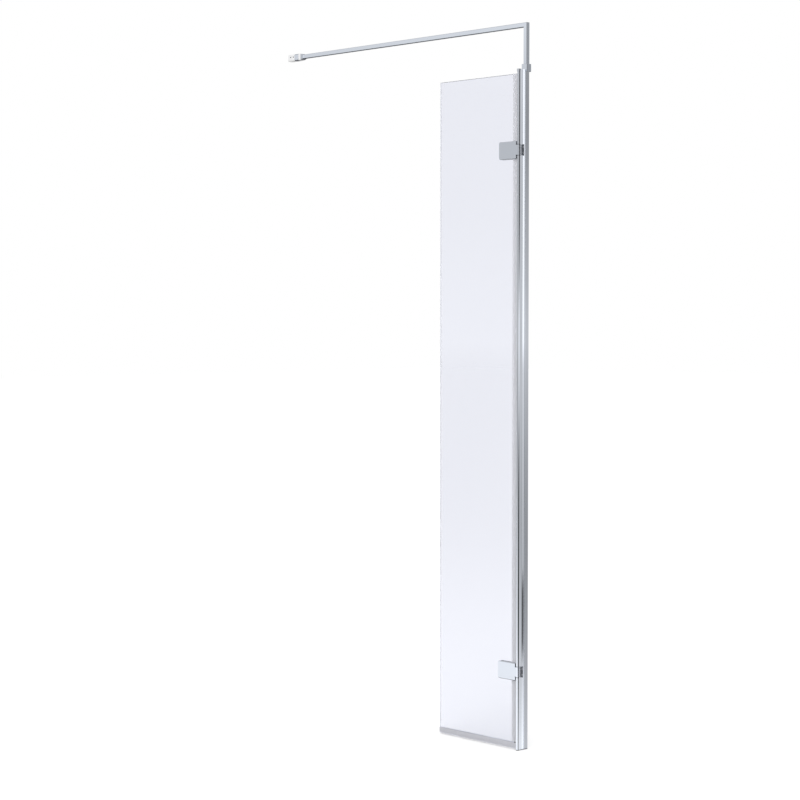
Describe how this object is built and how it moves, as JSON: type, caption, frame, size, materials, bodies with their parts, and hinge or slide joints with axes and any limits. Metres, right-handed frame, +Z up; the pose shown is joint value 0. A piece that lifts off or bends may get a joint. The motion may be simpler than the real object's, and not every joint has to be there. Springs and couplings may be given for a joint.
{
  "type": "hinged shower return panel",
  "caption": "Narrow frameless glass panel hinged on a slim metal post, with a channel for a fixed screen behind the post and a square support arm from the post to the wall.",
  "frame": {"origin": "on the hinge line, in the plane of the foot of the post", "axes": "+Z up along the post, -X along the glass panel and the support arm towards the wall, +Y into the glazing channel's fixed screen"},
  "size_m": [0.9979, 0.0492, 1.9815],
  "materials": {
    "glass": "clear toughened glass, ground edges",
    "seal": "clear soft PVC",
    "gasket": "soft glazing strip",
    "hinge_gasket": "thin soft sheet",
    "bush": "nylon",
    "steel": "stainless steel",
    "dark_steel": "stainless steel grub screws",
    "polished_profile": "polished, silver anodised",
    "polished_fitting": "polished chrome plate",
    "cap": "grey moulded cap",
    "joiner": "die-cast zinc"
  },
  "bodies": {
    "post": {"hinge_profile": "polished_profile", "nose_cap": "cap", "profile_top_cap": "polished_profile", "top_cap_screw": "steel", "foot_cap": "cap", "foot_cap_screw": "steel", "glazing_channel": "polished_profile", "glazing_gasket_outer": "gasket", "glazing_gasket_inner": "gasket", "channel_screws": "steel", "arm_collar": "polished_fitting", "collar_screw": "steel", "collar_grub_screws": "dark_steel", "riser_tube": "polished_fitting", "corner_joiner": "joiner", "corner_grub_screws": "dark_steel", "arm_tube": "polished_fitting", "wall_boss": "polished_fitting", "wall_bracket": "polished_fitting", "arm_sleeve": "polished_fitting", "sleeve_ring": "polished_fitting", "arm_ferrule": "polished_fitting", "bracket_grub_screws": "dark_steel", "upper_hinge_pin": "steel", "lower_hinge_pin": "steel", "upper_side_leaf": "polished_fitting", "lower_side_leaf": "polished_fitting", "leaf_screws": "steel"},
    "panel": {"glass_panel": "glass", "side_seal_bottom": "seal", "side_seal_middle": "seal", "side_seal_top": "seal", "bottom_seal": "seal", "upper_front_plate": "polished_fitting", "upper_back_plate": "polished_fitting", "upper_front_gasket": "hinge_gasket", "upper_back_gasket": "hinge_gasket", "upper_clamp_screws": "steel", "upper_hinge_bushes": "bush", "lower_front_plate": "polished_fitting", "lower_back_plate": "polished_fitting", "lower_front_gasket": "hinge_gasket", "lower_back_gasket": "hinge_gasket", "lower_clamp_screws": "steel", "lower_hinge_bushes": "bush"}
  },
  "joints": [
    {"name": "panel_swing", "type": "hinge", "parent": "post", "child": "panel", "pos_m": [0, 0, 0], "axis": [0, 0, 1], "range_deg": [0, 120]}
  ]
}
